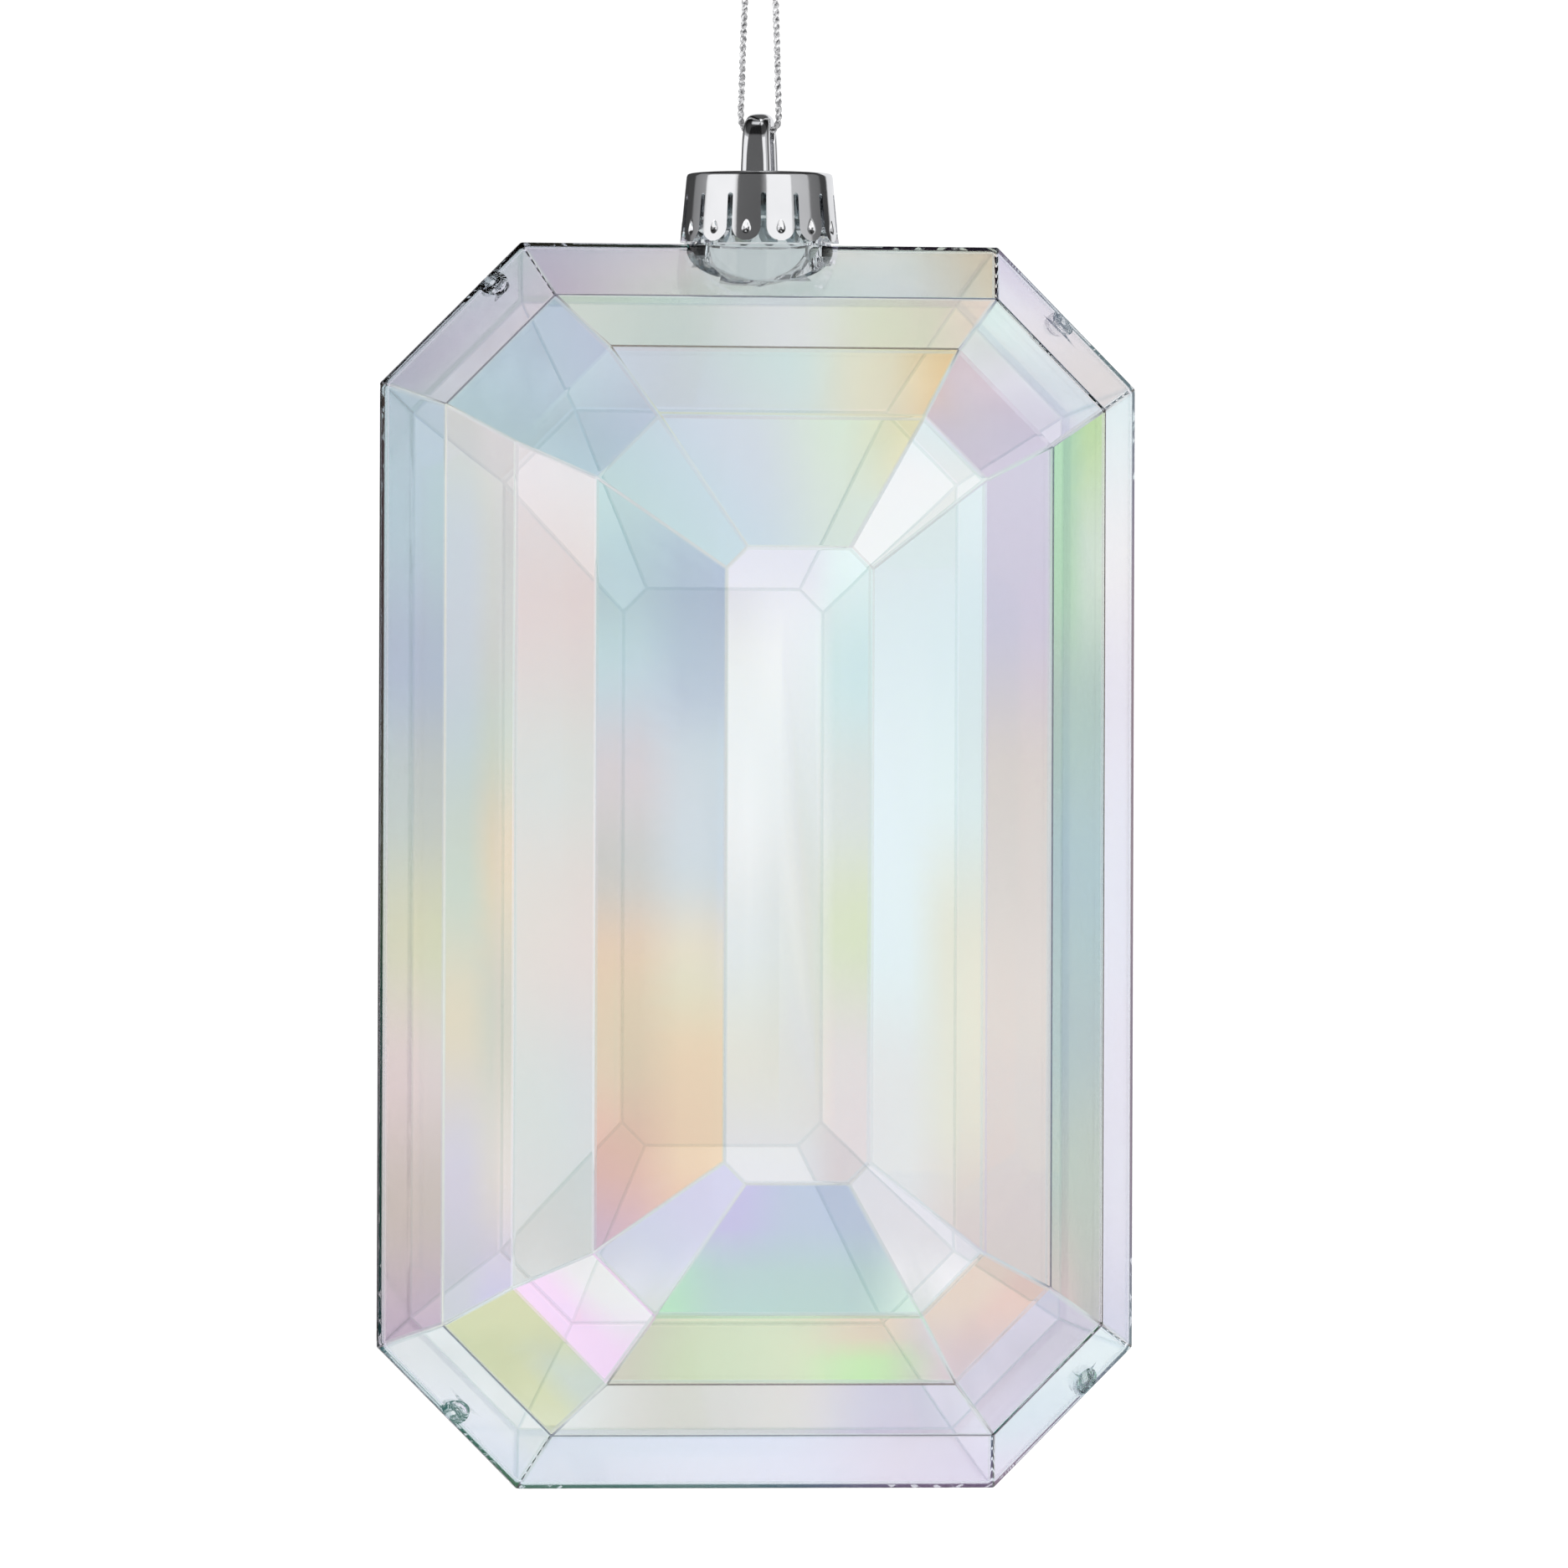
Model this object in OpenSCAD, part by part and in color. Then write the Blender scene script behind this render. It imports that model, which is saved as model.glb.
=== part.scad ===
// Hanging ornament shaped like an emerald-cut gem: two clear faceted shells glued along a flat rim,
// a silver crown cap with its own eye pressed over their neck, and a metallic thread tied in a loop.
// Millimetres. +Z is up and -Y is the front. The origin is where a hook holds the thread, under its knot.

/* [Gem outline] */
// Width of the gem, side to side
body_w = 92.4; // [74:0.2:112]
// Height of the gem, without its neck
body_h = 150; // [122:1:182]
// Corner cut of the outline, along each side
corner = 17; // [13:0.5:22]
// Wall of both shells
wall = 1.5; // [1.2:0.1:2]
// Flat rim of each shell, from the parting line to the first facet
rim = 0.6; // [0.4:0.1:1.2]

/* [Front facets] */
// Depth of the front shell
front_depth = 28.2; // [22:0.2:34]
// Width of the front table, the flat facet in the middle
front_table_w = 17.8; // [12:0.2:24]
// Height of the front table
front_table_h = 76; // [60:1:92]
// Corner cut of the front table
front_table_corner = 2.6; // [2:0.1:4]

/* [Back facets] */
// Depth of the back shell
back_depth = 25.4; // [20:0.2:31]
// Width of the back table
back_table_w = 25; // [18:0.2:32]
// Height of the back table
back_table_h = 68.4; // [54:0.2:84]
// Corner cut of the back table
back_table_corner = 3; // [2:0.1:5]

/* [Locating pegs] */
// Radius of a peg
peg_r = 0.8; // [0.65:0.05:1]
// How far a peg reaches past the parting line
peg_l = 2.5; // [1.5:0.1:3.5]
// Radius of the post that a peg or its socket is in
post_r = 1.6; // [1.4:0.05:2]
// Gap all round a peg in its socket
peg_gap = 0.05; // [0.03:0.01:0.1]

/* [Neck] */
// Radius of the neck that the cap turns on
neck_r = 7.6; // [6.2:0.05:9.2]
// How far the shoulder under the cap stands out from the neck
shoulder_step = 1.3; // [1:0.1:1.8]
// How far the bead that keeps the cap on stands out from the neck
bead_step = 0.35; // [0.25:0.05:0.4]

/* [Cap] */
// Height of the cap's skirt, from its flat top to the tips of its petals
cap_h = 8.4; // [7:0.1:10]
// Wall of the cap's skirt
cap_wall = 0.8; // [0.6:0.05:1]
// Thickness of the cap's flat top
cap_top_t = 1; // [0.8:0.1:1.5]
// Height of the cap's bore, the turning fit on the neck
cap_bore_h = 3; // [2.4:0.1:3.4]
// Radial gap between the cap's bore and the neck
turn_gap = 0.05; // [0.03:0.01:0.08]
// Gap between the petals' tips and the shoulder, and between the neck and the cap's top
cap_gap = 0.2; // [0.15:0.05:0.4]
// Number of petals round the skirt
petals = 14; // [10:1:18]
// Width of the slot between two petals
slot_w = 0.7; // [0.5:0.1:1]
// Length of the slot, up from the petals' tips
slot_h = 5.8; // [4.4:0.1:6]
// Turn of the cap on the neck, seen from above
cap_turn = -20; // [-45:5:45]

/* [Eye] */
// Height of the eye above the cap's top
eye_h = 7.3; // [6:0.1:9]
// Depth of the eye, front to back
eye_d = 7.5; // [6.5:0.1:9]
// Thickness of the eye's band
band_t = 1.7; // [1.4:0.1:2.2]
// Width of the eye's band where it meets the cap
band_foot_w = 3.6; // [3.2:0.1:3.8]
// Width of the eye's band at its top
band_top_w = 3; // [2.6:0.1:3.2]
// Rounding of the band's top corners
band_round = 1; // [0.6:0.1:1.2]

/* [Thread] */
// Diameter of the twisted metallic thread
thread_d = 0.95; // [0.8:0.05:1.15]
// Gap between the thread and the eye's top, over it
thread_gap = 0.05; // [0.02:0.01:0.1]
// Height of the knot
knot_h = 4; // [3:0.1:5]
// Width of the knot
knot_w = 3.4; // [2.8:0.1:4]
// Length of the two cut tails above the knot
tail_l = 6; // [3:0.5:9]
// Lean of each tail
tail_lean = 22; // [10:1:35]

/* [Hidden] */
$fn = 64;
over = 1; // how far a cut runs past what it cuts

// The thread's route in the eye's own plane, down one strand, through the eye and up the other.
strand = [
    [-0.5, 0, 1], [-0.5, 0, -1], [-0.6, 0, -4], [-0.8, 0, -9], [-1, 0, -15], [-1.2, 0, -21],
    [-1.3, 0, -27], [-1.5, 0, -33], [-1.7, 0, -39], [-1.9, 0, -45], [-2.1, 0, -50], [-2.2, 0, -54],
    [-2.3, 0, -57], [-2.3, 0, -58.5], [-2.1, 0, -59.3], [-1.6, 0, -59.8], [-0.9, 0, -60]
];
low_point = [0, 0, -60];
route = concat(strand, [low_point], [for (i = [len(strand) - 1 : -1 : 0]) mirrored(strand[i])]);
thread_sides = 8;

// Heights, from the thread in the eye down.
eye_top_z = low_point.z + thread_d / 2 + thread_gap;
band_top_z = eye_top_z + band_t;
cap_top_z = band_top_z - eye_h;
cap_low_z = cap_top_z - cap_h;
shoulder_z = cap_low_z - cap_gap;
neck_top_z = cap_top_z - cap_top_t - cap_gap;
centre_z = shoulder_z - body_h / 2;

// Radii about the neck's axis.
shoulder_r = neck_r + shoulder_step;
bead_r = neck_r + bead_step;
neck_bore_r = neck_r - wall;
cap_bore_r = neck_r + turn_gap;
tip_bore_r = shoulder_r - 0.1;
tip_r = tip_bore_r + cap_wall;
cap_top_r = cap_bore_r + 1.15;

// How much of each petal's round tip is cut off flat.
tip_flat = 0.05;

// The dents near the petals' tips, which catch under the neck's bead.
dent_r = 0.6;
dent_z = cap_low_z + 1.6;
dent_reach_r = neck_r + 0.1;
bead_z = dent_z + 1.1;
bead_half_h = 0.35;

// Facet rows as shares of the way from the rim to the table: [across, up, corner, deep].
front_rows = [
    [0, 0, 0, 0], [0.16, 0.18, 0.26, 0.42], [0.36, 0.35, 0.38, 0.62], [0.6, 0.57, 0.65, 0.8], [1, 1, 1, 1]
];
back_rows = [[0, 0, 0, 0], [0.175, 0.16, 0.25, 0.54], [0.53, 0.47, 0.57, 0.8], [1, 1, 1, 1]];
// The hollow's own rows fall a little short of those, which keeps its facets parallel to the outer ones.
front_hollow_rows = [
    [0, 0, 0, 0], [0.144, 0.163, 0.238, 0.388], [0.353, 0.343, 0.375, 0.604], [0.597, 0.567, 0.65, 0.793],
    [1, 1, 1, 1]
];
back_hollow_rows = [[0, 0, 0, 0], [0.162, 0.148, 0.235, 0.518], [0.524, 0.464, 0.565, 0.792], [1, 1, 1, 1]];
front_table = [front_table_w / 2, front_table_h / 2, front_table_corner, front_depth];
back_table = [back_table_w / 2, back_table_h / 2, back_table_corner, back_depth];

// How far the hollow's outline stands in from the outer one, at the rim and at the table. The outermost
// row is steep, so its wall comes out at about 0.8 of the full one.
side_inset = 0.9 * wall;
table_inset = 0.17 * wall;
corner_loss = 2 - sqrt(2); // how much shorter a corner cut gets for each unit of inset

// Pegs: [side, end, share of the way along the corner cut from the side to the end].
peg_places = [[-1, 1, 0.75], [1, 1, 0.5], [-1, -1, 0.5], [1, -1, 0.3]];
post_inset = post_r - 0.1;
post_depth = 9;
socket_depth = peg_l + 0.5;

function mirrored(p) = [-p.x, p.y, p.z];
function mix(a, b, share) = a + (b - a) * share;

// The eight corners of an outline with cut corners, anticlockwise as seen from the front.
function outline(half_w, half_h, cut) = [
    [half_w, half_h - cut], [half_w - cut, half_h], [cut - half_w, half_h], [-half_w, half_h - cut],
    [-half_w, cut - half_h], [cut - half_w, -half_h], [half_w - cut, -half_h], [half_w, cut - half_h]
];

// One row's ring of corners, at its depth in front of the parting line.
function ring(row, table, side_in, table_in, wall_in) =
    let (
        half_w = mix(body_w / 2 - side_in, table[0] - table_in, row[0]),
        half_h = mix(body_h / 2 - side_in, table[1] - table_in, row[1]),
        cut = mix(corner - corner_loss * side_in, table[2] - corner_loss * table_in, row[2]),
        depth = mix(rim, table[3] - wall_in, row[3])
    )
    [for (p = outline(half_w, half_h, cut)) [p.x, -depth, centre_z + p.y]];

// The same ring moved along Y.
function at_y(points, y) = [for (p = points) [p.x, y, p.z]];

// A closed solid through a stack of eight-cornered rings, the first one at the back.
module ring_stack(rings) {
    n = 8;
    last = (len(rings) - 1) * n;
    sides = [for (r = [0 : len(rings) - 2]) for (k = [0 : n - 1])
        [r * n + k, (r + 1) * n + k, (r + 1) * n + (k + 1) % n, r * n + (k + 1) % n]];
    first_face = [for (k = [0 : n - 1]) k];
    last_face = [for (k = [n - 1 : -1 : 0]) last + k];
    polyhedron(points = [for (r = rings) for (p = r) p], faces = concat(sides, [first_face, last_face]));
}

// The outside of a shell, in front of the parting line.
module gem_outside(rows, table) {
    rings = [for (row = rows) ring(row, table, 0, 0, 0)];
    ring_stack(concat([at_y(rings[0], 0)], rings));
}

// The hollow of a shell, open past the parting line.
module gem_hollow(hollow_rows, table) {
    rings = [for (row = hollow_rows) ring(row, table, side_inset, table_inset, wall)];
    ring_stack(concat([at_y(rings[0], over)], rings));
}

// The block in front of the parting line that holds the front half of the neck.
module front_half() {
    reach = 2 * shoulder_r;
    translate([-reach, -reach, shoulder_z - reach])
        cube([2 * reach, reach, 2 * reach]);
}

// Shoulder, neck and bead, all round.
module neck_outside() {
    translate([0, 0, shoulder_z - shoulder_r])
        cylinder(r = shoulder_r, h = shoulder_r);
    translate([0, 0, shoulder_z - over])
        cylinder(r = neck_r, h = neck_top_z - shoulder_z + over);
    translate([0, 0, bead_z])
        rotate_extrude()
            polygon([[neck_bore_r + 0.5, -bead_half_h], [neck_r, -bead_half_h], [bead_r, 0],
                [neck_r, bead_half_h], [neck_bore_r + 0.5, bead_half_h]]);
}

// The neck's bore, down through its shoulder into the hollow.
module neck_bore() {
    bore_low_z = shoulder_z - shoulder_r - over;
    translate([0, 0, bore_low_z])
        cylinder(r = neck_bore_r, h = neck_top_z - bore_low_z + over);
}

// Puts its children on each locating peg's axis, at the parting line.
module at_pegs() {
    for (place = peg_places) {
        x = body_w / 2 - corner * place[2] - post_inset / sqrt(2);
        z = body_h / 2 - corner * (1 - place[2]) - post_inset / sqrt(2);
        translate([place[0] * x, 0, centre_z + place[1] * z])
            rotate([90, 0, 0])
                children();
    }
}

// One shell in front of the parting line: facets, posts and half the neck.
module shell(rows, hollow_rows, table) {
    difference() {
        union() {
            difference() {
                gem_outside(rows, table);
                gem_hollow(hollow_rows, table);
            }
            intersection() {
                gem_outside(rows, table);
                at_pegs() cylinder(r = post_r, h = post_depth);
            }
            intersection() {
                difference() {
                    neck_outside();
                    gem_hollow(hollow_rows, table);
                }
                front_half();
            }
        }
        neck_bore();
    }
}

module front_shell() {
    color([0.82, 0.9, 0.93, 0.45]) {
        shell(front_rows, front_hollow_rows, front_table);
        at_pegs() translate([0, 0, -peg_l]) cylinder(r = peg_r, h = peg_l + over);
    }
}

module back_shell() {
    color([0.88, 0.85, 0.93, 0.45])
        difference() {
            mirror([0, 1, 0]) shell(back_rows, back_hollow_rows, back_table);
            at_pegs() translate([0, 0, -socket_depth]) cylinder(r = peg_r + peg_gap, h = socket_depth + over);
        }
}

// The cap's skirt and top, with its stepped bore.
module cap_body() {
    rotate_extrude()
        polygon([
            [0, cap_top_z], [cap_top_r, cap_top_z], [tip_r, cap_low_z], [tip_bore_r, cap_low_z],
            [cap_bore_r, cap_top_z - cap_top_t - cap_bore_h], [cap_bore_r, cap_top_z - cap_top_t],
            [0, cap_top_z - cap_top_t]
        ]);
}

// The gap between two petals, in the plane of the skirt, with its foot at the petals' tips.
module petal_gap() {
    pitch = 2 * tip_r * sin(180 / petals);
    tip_round = (pitch - slot_w) / 2;
    translate([-slot_w / 2, 0])
        square([slot_w, slot_h - slot_w / 2]);
    translate([0, slot_h - slot_w / 2])
        circle(r = slot_w / 2, $fn = 24);
    difference() {
        translate([-pitch / 2, -over])
            square([pitch, tip_round + over - tip_flat]);
        for (side = [-1, 1])
            translate([side * pitch / 2, tip_round - tip_flat])
                circle(r = tip_round);
    }
}

module petal_gaps() {
    for (k = [0 : petals - 1])
        rotate([0, 0, (k + 0.5) * 360 / petals])
            translate([0, -cap_bore_r + 1, cap_low_z])
                rotate([90, 0, 0])
                    linear_extrude(tip_r - cap_bore_r + 2)
                        petal_gap();
}

// The dents' inner bumps, one to a petal, which widen into the skirt's wall.
module dent_bumps() {
    for (k = [0 : petals - 1])
        rotate([0, 0, k * 360 / petals])
            translate([0, -dent_reach_r, dent_z])
                rotate([90, 0, 0])
                    cylinder(r1 = dent_r / 2, r2 = dent_r, h = 1.2, $fn = 24);
}

// The eye, an arch whose hole runs along X.
module eye() {
    half_d = eye_d / 2;
    arch_z = eye_h - half_d;
    hole_r = half_d - band_t;
    foot = cap_top_t / 2;
    translate([0, 0, cap_top_z])
        difference() {
            intersection() {
                rotate([90, 0, 90])
                    linear_extrude(2 * band_foot_w, center = true)
                        difference() {
                            arch_shape(half_d, arch_z, foot);
                            arch_shape(hole_r, arch_z, 0);
                        }
                rotate([90, 0, 0])
                    linear_extrude(2 * eye_d, center = true)
                        band_front(foot);
            }
            for (side = [0, 180])
                rotate([0, 0, side])
                    translate([band_top_w / 2 - 0.35, 0, arch_z])
                        rotate([0, 90, 0])
                            cylinder(r1 = hole_r, r2 = hole_r + 2, h = 2);
        }
}

// A round-topped arch with its straight legs running down past the cap's top.
module arch_shape(r, top_z, foot) {
    translate([0, top_z])
        circle(r = r);
    translate([-r, -foot])
        square([2 * r, top_z + foot]);
}

// The band as seen from the front: a little wider at its foot, with rounded top corners.
module band_front(foot) {
    top = band_top_w / 2;
    bend_z = eye_h - band_round;
    polygon([[-band_foot_w / 2, -foot], [band_foot_w / 2, -foot], [top, bend_z], [-top, bend_z]]);
    for (side = [-1, 1])
        translate([side * (top - band_round), bend_z])
            circle(r = band_round);
    translate([band_round - top, bend_z - 0.1])
        square([band_top_w - 2 * band_round, band_round + 0.1]);
}

module hanger_cap() {
    color([0.78, 0.79, 0.8])
        rotate([0, 0, cap_turn]) {
            difference() {
                cap_body();
                petal_gaps();
            }
            dent_bumps();
            eye();
        }
}

// A smooth curve through the route, two stretches to each pair of points.
function spot(points, i) = points[max(0, min(len(points) - 1, i))];
function between(points, i) =
    (9 * (spot(points, i) + spot(points, i + 1)) - spot(points, i - 1) - spot(points, i + 2)) / 16;
function smooth(points) = concat(
    [for (i = [0 : len(points) - 2]) for (p = [points[i], between(points, i)]) p],
    [points[len(points) - 1]]
);
function heading(points, i) =
    let (d = spot(points, i + 1) - spot(points, i - 1))
    d / norm(d);

// A tube along points that all lie in one plane, Y = 0.
module flat_tube(points, d, sides) {
    last = (len(points) - 1) * sides;
    skin = [for (i = [0 : len(points) - 1])
        let (ahead = heading(points, i), across = [ahead.z, 0, -ahead.x])
        for (k = [0 : sides - 1])
            points[i] + d / 2 * (cos(k * 360 / sides) * across + [0, sin(k * 360 / sides), 0])];
    walls = [for (i = [0 : len(points) - 2]) for (k = [0 : sides - 1])
        [i * sides + k, (i + 1) * sides + k, (i + 1) * sides + (k + 1) % sides, i * sides + (k + 1) % sides]];
    first_end = [for (k = [0 : sides - 1]) k];
    last_end = [for (k = [sides - 1 : -1 : 0]) last + k];
    polyhedron(points = skin, faces = concat(walls, [first_end, last_end]));
}

module hanging_cord() {
    color([0.75, 0.75, 0.75])
        rotate([0, 0, cap_turn])
            flat_tube(smooth(route), thread_d, thread_sides);
}

// The knot's outside as a round bead, with its two cut tails.
module cord_knot() {
    bulge = [for (a = [-75 : 15 : 75]) [knot_w / 2 * cos(a), knot_h / 2 * sin(a)]];
    color([0.75, 0.75, 0.75])
        rotate([0, 0, cap_turn]) {
            translate([0, 0, knot_h / 2])
                rotate_extrude()
                    polygon(concat([[0, -knot_h / 2]], bulge, [[0, knot_h / 2]]));
            for (side = [-1, 1])
                translate([0, 0, knot_h - thread_d])
                    rotate([0, side * tail_lean, 0])
                        cylinder(d = thread_d, h = tail_l);
        }
}

front_shell();
back_shell();
hanger_cap();
hanging_cord();
cord_knot();
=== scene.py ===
import math

import bmesh
import bpy
from mathutils import Matrix, Vector, noise


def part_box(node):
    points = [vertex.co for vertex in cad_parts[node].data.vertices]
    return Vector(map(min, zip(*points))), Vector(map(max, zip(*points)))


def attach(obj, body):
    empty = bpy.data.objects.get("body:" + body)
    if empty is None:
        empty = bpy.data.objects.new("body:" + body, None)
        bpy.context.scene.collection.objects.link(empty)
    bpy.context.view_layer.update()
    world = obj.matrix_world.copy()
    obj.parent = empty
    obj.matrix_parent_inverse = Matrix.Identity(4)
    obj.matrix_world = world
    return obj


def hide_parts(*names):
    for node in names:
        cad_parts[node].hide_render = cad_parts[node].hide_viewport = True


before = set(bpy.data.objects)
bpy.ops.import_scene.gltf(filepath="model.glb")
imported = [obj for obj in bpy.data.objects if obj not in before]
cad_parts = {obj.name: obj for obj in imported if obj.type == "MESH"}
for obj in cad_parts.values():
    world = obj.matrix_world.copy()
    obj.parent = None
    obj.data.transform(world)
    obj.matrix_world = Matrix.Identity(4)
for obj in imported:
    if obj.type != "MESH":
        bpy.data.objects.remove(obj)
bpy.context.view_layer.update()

# ---------------------------------------------------------------- sizes, in metres, as the CAD has them
MM = 0.001
shell_low, shell_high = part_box("front_shell")
back_low, back_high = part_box("back_shell")
cap_low, cap_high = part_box("hanger_cap")

GEM_H = 150 * MM
HALF_W, HALF_H = shell_high[0], GEM_H / 2
CENTRE_Z = shell_low[2] + HALF_H
CORNER = 17 * MM
WALL = 1.5 * MM
RIM = 0.6 * MM
FRONT_TABLE = (8.9 * MM, 38 * MM, 2.6 * MM, -shell_low[1])
BACK_TABLE = (12.5 * MM, 34.2 * MM, 3 * MM, back_high[1])
FRONT_ROWS = [
    (0, 0, 0, 0), (0.16, 0.18, 0.26, 0.42), (0.36, 0.35, 0.38, 0.62), (0.6, 0.57, 0.65, 0.8), (1, 1, 1, 1),
]
BACK_ROWS = [(0, 0, 0, 0), (0.175, 0.16, 0.25, 0.54), (0.53, 0.47, 0.57, 0.8), (1, 1, 1, 1)]
FRONT_HOLLOW = [
    (0, 0, 0, 0), (0.144, 0.163, 0.238, 0.388), (0.353, 0.343, 0.375, 0.604), (0.597, 0.567, 0.65, 0.793),
    (1, 1, 1, 1),
]
BACK_HOLLOW = [(0, 0, 0, 0), (0.162, 0.148, 0.235, 0.518), (0.524, 0.464, 0.565, 0.792), (1, 1, 1, 1)]
SIDE_INSET, TABLE_INSET = 0.9 * WALL, 0.17 * WALL
CORNER_LOSS = 2 - math.sqrt(2)
GLUE_GAP = 0.02 * MM
OUTER_ROUND, INNER_ROUND = 0.15 * MM, 0.2 * MM

NECK_R = 7.6 * MM
SHOULDER_R = 8.9 * MM
BEAD_R = 7.95 * MM
SHOULDER_Z = CENTRE_Z + HALF_H
NECK_TOP_Z = shell_high[2]
NECK_BORE_R = NECK_R - WALL
NECK_SEGMENTS = 160
PEG_R, PEG_L, POST_R, PEG_GAP = 0.8 * MM, 2.5 * MM, 1.6 * MM, 0.05 * MM
PEG_PLACES = [(-1, 1, 0.75), (1, 1, 0.5), (-1, -1, 0.5), (1, -1, 0.3)]

CAP_LOW_Z = SHOULDER_Z + 0.2 * MM
CAP_H = 8.4 * MM
CAP_TOP_Z = CAP_LOW_Z + CAP_H
CAP_TOP_T = 1 * MM
CAP_BORE_R, CAP_BORE_H = 7.65 * MM, 3 * MM
CAP_TOP_R, TIP_R, TIP_BORE_R = 8.8 * MM, 9.6 * MM, 8.8 * MM
PETALS = 14
SLOT_HALF, SLOT_H = 0.35 * MM, 5.8 * MM
CAP_TURN = math.radians(-20)
EYE_H, EYE_D, BAND_T = 7.3 * MM, 7.5 * MM, 1.7 * MM
BAND_FOOT_W, BAND_TOP_W = 3.6 * MM, 3 * MM

THREAD_D = 0.95 * MM
THREAD_STEP = 0.16 * MM
PLIES, TWIST, PLY_R, HELIX_R = 2, 1.8 * MM, 0.22 * MM, 0.2 * MM
KNOT_TWIST, KNOT_PLY_R, KNOT_HELIX_R = 2.1 * MM, 0.235 * MM, 0.22 * MM
STRAND = [
    (-0.5, 1), (-0.5, -1), (-0.6, -4), (-0.8, -9), (-1, -15), (-1.2, -21),
    (-1.3, -27), (-1.5, -33), (-1.7, -39), (-1.9, -45), (-2.1, -50), (-2.2, -54),
    (-2.3, -57), (-2.3, -58.5), (-2.1, -59.3), (-1.6, -59.8), (-0.9, -60),
]
ROUTE = STRAND + [(0, -60)] + [(-x, z) for x, z in reversed(STRAND)]
KNOT_H, KNOT_W, TAIL_L, TAIL_LEAN = 4 * MM, 3.4 * MM, 6 * MM, math.radians(22)

TURN = Matrix.Rotation(CAP_TURN, 4, "Z")

# ---------------------------------------------------------------- camera
CAMERA_AZIMUTH = math.radians(-10.3)
CAMERA_DISTANCE = 2.05
FRAME_WIDTH = 189.2 * MM
ASIDE, ABOVE, CAMERA_DROP = 3.2 * MM, 9.95 * MM, 20 * MM
ROLL = math.radians(0.2)


def make_camera():
    data = bpy.data.cameras.new("camera")
    data.sensor_width = 36
    data.lens = data.sensor_width * CAMERA_DISTANCE / FRAME_WIDTH
    camera = bpy.data.objects.new("camera", data)
    bpy.context.collection.objects.link(camera)
    right = Vector((math.cos(CAMERA_AZIMUTH), math.sin(CAMERA_AZIMUTH), 0))
    back = Vector((math.sin(CAMERA_AZIMUTH), -math.cos(CAMERA_AZIMUTH), 0))
    target = Vector((0, 0, CENTRE_Z + ABOVE)) + right * ASIDE
    camera.location = target + back * CAMERA_DISTANCE - Vector((0, 0, CAMERA_DROP))
    aim = (target - camera.location).to_track_quat("-Z", "Y").to_matrix().to_4x4()
    camera.rotation_euler = (aim @ Matrix.Rotation(ROLL, 4, "Z")).to_euler()
    data.clip_start, data.clip_end = 0.01, 100
    bpy.context.scene.camera = camera


# ---------------------------------------------------------------- mesh helpers
def new_object(name, bm, material=None):
    mesh = bpy.data.meshes.new(name)
    bmesh.ops.recalc_face_normals(bm, faces=bm.faces)
    bm.to_mesh(mesh)
    bm.free()
    made = bpy.data.objects.new(name, mesh)
    bpy.context.collection.objects.link(made)
    if material:
        mesh.materials.append(material)
    return made


def remove(obj):
    mesh = obj.data
    bpy.data.objects.remove(obj)
    bpy.data.meshes.remove(mesh)


def boolean(target, tool, operation, keep_tool=False):
    modifier = target.modifiers.new("cut", "BOOLEAN")
    modifier.operation = operation
    modifier.object = tool
    modifier.solver = "EXACT"
    made = bpy.data.meshes.new_from_object(target.evaluated_get(bpy.context.evaluated_depsgraph_get()))
    old = target.data
    target.modifiers.clear()
    target.data = made
    bpy.data.meshes.remove(old)
    if not keep_tool:
        remove(tool)


def lathe(profile, segments, name):
    """A closed solid from a profile of (radius, z) points that starts and ends on the axis."""
    bm = bmesh.new()
    rings = []
    for radius, z in profile:
        if radius < 1e-9:
            rings.append([bm.verts.new((0, 0, z))])
        else:
            angles = (2 * math.pi * k / segments for k in range(segments))
            rings.append([bm.verts.new((radius * math.cos(a), radius * math.sin(a), z)) for a in angles])
    for low, high in zip(rings, rings[1:]):
        for k in range(segments):
            n = (k + 1) % segments
            corners = [low[k % len(low)], low[n % len(low)], high[n % len(high)], high[k % len(high)]]
            bm.faces.new(list(dict.fromkeys(corners)))
    return new_object(name, bm)


def cylinder_along_y(radius, x, z, y_from, y_to, name):
    solid = lathe([(0, y_from), (radius, y_from), (radius, y_to), (0, y_to)], 32, name)
    solid.data.transform(Matrix.Translation((x, 0, z)) @ Matrix.Rotation(math.radians(-90), 4, "X"))
    return solid


def block(low, high, name):
    bm = bmesh.new()
    bmesh.ops.create_cube(bm, size=1)
    size = Vector(high) - Vector(low)
    middle = (Vector(high) + Vector(low)) / 2
    bmesh.ops.transform(bm, matrix=Matrix.Translation(middle) @ Matrix.Diagonal((*size, 1)), verts=bm.verts)
    return new_object(name, bm)


def smooth_shade(obj, angle):
    obj.data.shade_smooth()
    obj.data.set_sharp_from_angle(angle=math.radians(angle))
    weighted = obj.modifiers.new("even normals", "WEIGHTED_NORMAL")
    weighted.keep_sharp = True
    weighted.weight = 50


# ---------------------------------------------------------------- gem shells
def mix(a, b, share):
    return a + (b - a) * share


def outline(half_w, half_h, cut):
    return [
        (half_w, half_h - cut), (half_w - cut, half_h), (cut - half_w, half_h), (-half_w, half_h - cut),
        (-half_w, cut - half_h), (cut - half_w, -half_h), (half_w - cut, -half_h), (half_w, cut - half_h),
    ]


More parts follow.
